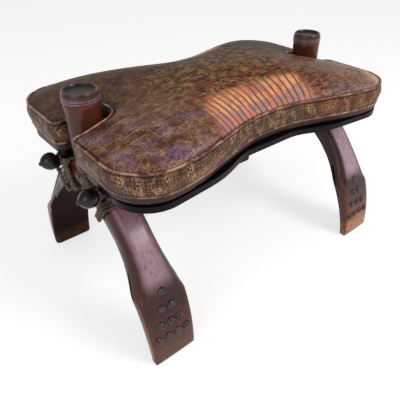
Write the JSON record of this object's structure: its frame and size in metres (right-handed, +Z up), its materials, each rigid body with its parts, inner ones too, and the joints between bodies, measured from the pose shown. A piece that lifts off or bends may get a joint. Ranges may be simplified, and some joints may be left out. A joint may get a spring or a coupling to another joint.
{
  "type": "camel saddle stool",
  "caption": "Low saddle stool on bowed arch legs with turned end posts, cord-lashed rails and a crowned leather cushion notched to drop over the posts.",
  "frame": {"origin": "on the floor under the middle of the stool", "axes": "+X from post to post, +Y across the seat from the front side to the back, +Z up"},
  "size_m": [0.634, 0.408, 0.401],
  "materials": {
    "dark_wood": "dark red-brown stained hardwood under worn wax polish",
    "pale_wood": "bare glued hardwood dowel",
    "black_board": "black painted board edge, satin",
    "stud_metal": "dark pewter-grey domed studs, semi-gloss",
    "lashing_cord": "twisted natural cord, tan-grey and dirty in the lay",
    "scaled_leather": "scale-embossed brown leather rubbed with gold, copper and violet, glossy",
    "welt_leather": "copper-brown piped leather, glossy and worn",
    "pad_filling": "stuffed filling, hidden"
  },
  "bodies": {
    "frame": {"leg_front_left": "dark_wood", "leg_front_right": "dark_wood", "leg_back_left": "dark_wood", "leg_back_right": "dark_wood", "post_left": "dark_wood", "post_right": "dark_wood", "rail_front": "dark_wood", "rail_back": "dark_wood", "studs_front_left": "stud_metal", "studs_front_right": "stud_metal", "studs_back_left": "stud_metal", "studs_back_right": "stud_metal", "arch_dowels": "pale_wood", "lashings": "lashing_cord"},
    "seat": {"seat_board": "black_board", "foam_pad": "pad_filling", "leather_cover": "scaled_leather", "top_welt": "welt_leather", "low_welt": "welt_leather"}
  },
  "joints": [
    {"name": "seat_lift", "type": "slide", "parent": "frame", "child": "seat", "axis": [0, 0, 1], "range_m": [0, 0.13]}
  ]
}
